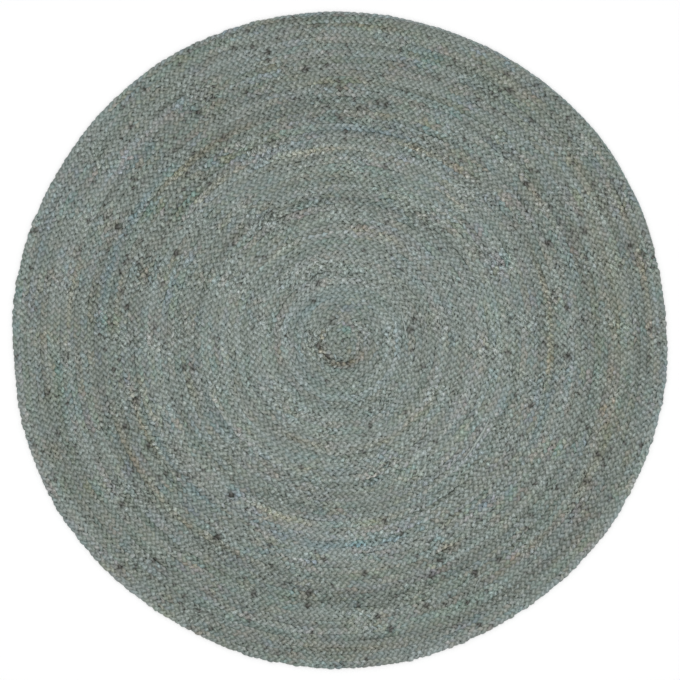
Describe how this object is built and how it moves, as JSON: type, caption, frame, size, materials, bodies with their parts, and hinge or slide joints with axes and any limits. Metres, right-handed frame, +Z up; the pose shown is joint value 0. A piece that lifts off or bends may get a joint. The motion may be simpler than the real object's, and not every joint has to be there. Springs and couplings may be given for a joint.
{
  "type": "round jute rug",
  "caption": "Round flat rug of one jute plait, coiled edge to edge from the middle, with a flat underside and an uneven sewn rim.",
  "frame": {"origin": "on the surface that the rug lies on, under the middle of its outline", "axes": "+Z up out of the plaited face, +X to the right and +Y to the far side as the rug is seen from above"},
  "size_m": [1.1966, 1.2006, 0.009],
  "materials": {
    "dyed_jute": "matte plaited jute, dyed a greyed sea green in uneven runs"
  },
  "bodies": {
    "root": {"rug": "dyed_jute"}
  },
  "joints": []
}
